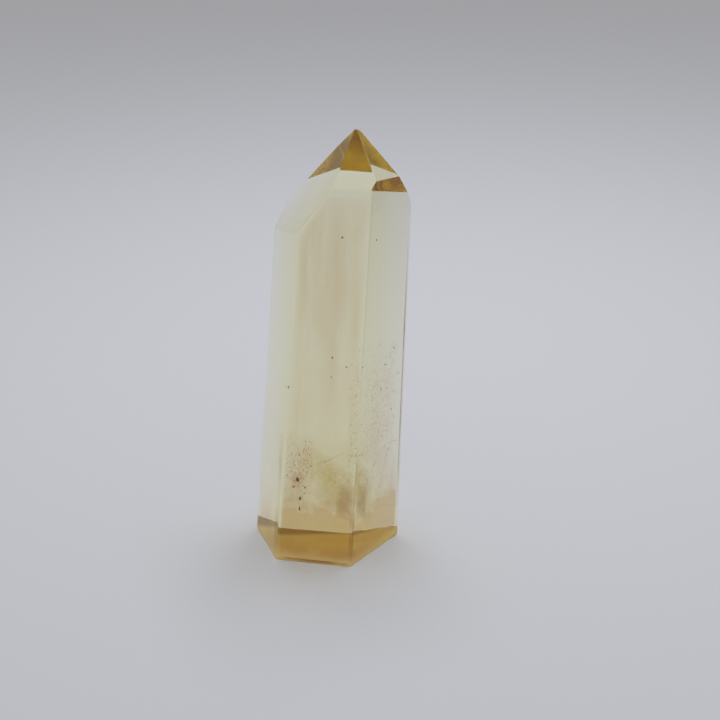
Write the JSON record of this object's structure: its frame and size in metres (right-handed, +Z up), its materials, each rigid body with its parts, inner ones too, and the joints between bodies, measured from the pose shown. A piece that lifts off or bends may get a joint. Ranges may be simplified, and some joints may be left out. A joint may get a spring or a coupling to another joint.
{
  "type": "citrine crystal point",
  "caption": "Polished upright point of pale yellow citrine quartz: a slightly leaning faceted prism on a flat cut base, ground to an off-centre tip, for display.",
  "frame": {"origin": "middle of the bounding box at the level of the cut base", "axes": "+Z up from the cut base towards the tip, -Y out of the widest prism face, +X to the right of it"},
  "size_m": [0.028, 0.0224, 0.075],
  "materials": {
    "citrine": "polished, clear pale yellow with rusty inclusions near the base"
  },
  "bodies": {
    "root": {"crystal_point": "citrine"}
  },
  "joints": []
}
